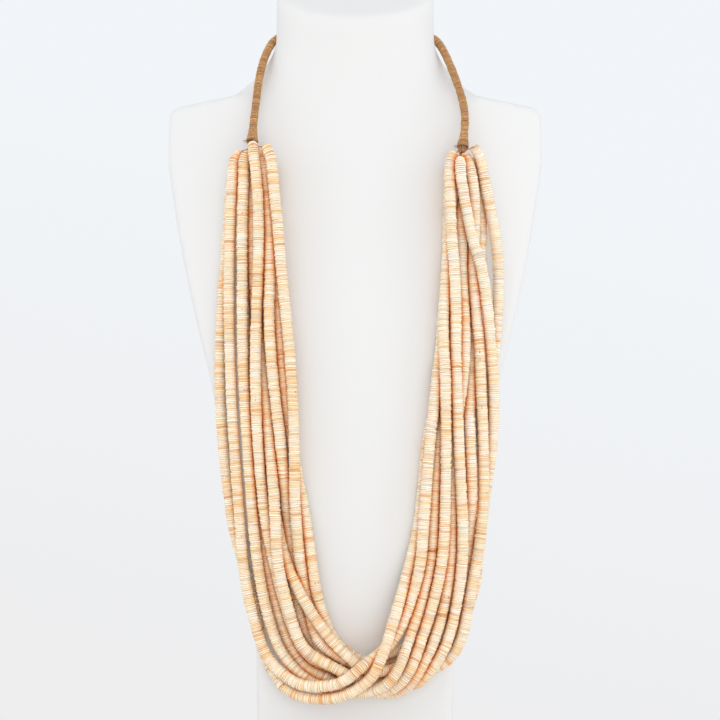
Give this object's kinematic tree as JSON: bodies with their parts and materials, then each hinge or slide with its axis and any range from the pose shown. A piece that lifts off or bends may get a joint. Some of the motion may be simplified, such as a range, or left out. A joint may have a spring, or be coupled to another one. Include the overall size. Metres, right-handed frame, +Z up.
{
  "type": "shell necklace on neck bust",
  "caption": "Long necklace of stranded shell disc beads on a thread-wound neck band, hung on a plain white neck bust.",
  "frame": {"origin": "middle of the bust's flat base", "axes": "+Z up through the neck, -Y out of the chest towards the viewer, +X to the right as the front is seen"},
  "size_m": [0.194, 0.1181, 0.417],
  "materials": {
    "bust": "matte white",
    "band": "wound tan thread",
    "shell": "polished shell, cream to tan",
    "thread": "brown thread"
  },
  "bodies": {
    "root": {"neck_bust": "bust", "neck_wrap": "band", "strand_01": "shell", "strand_02": "shell", "strand_03": "shell", "strand_04": "shell", "strand_05": "shell", "strand_06": "shell", "strand_07": "shell", "strand_08": "shell", "strand_09": "shell", "strand_10": "shell", "thread_ends_left": "thread", "thread_ends_right": "thread"}
  },
  "joints": []
}
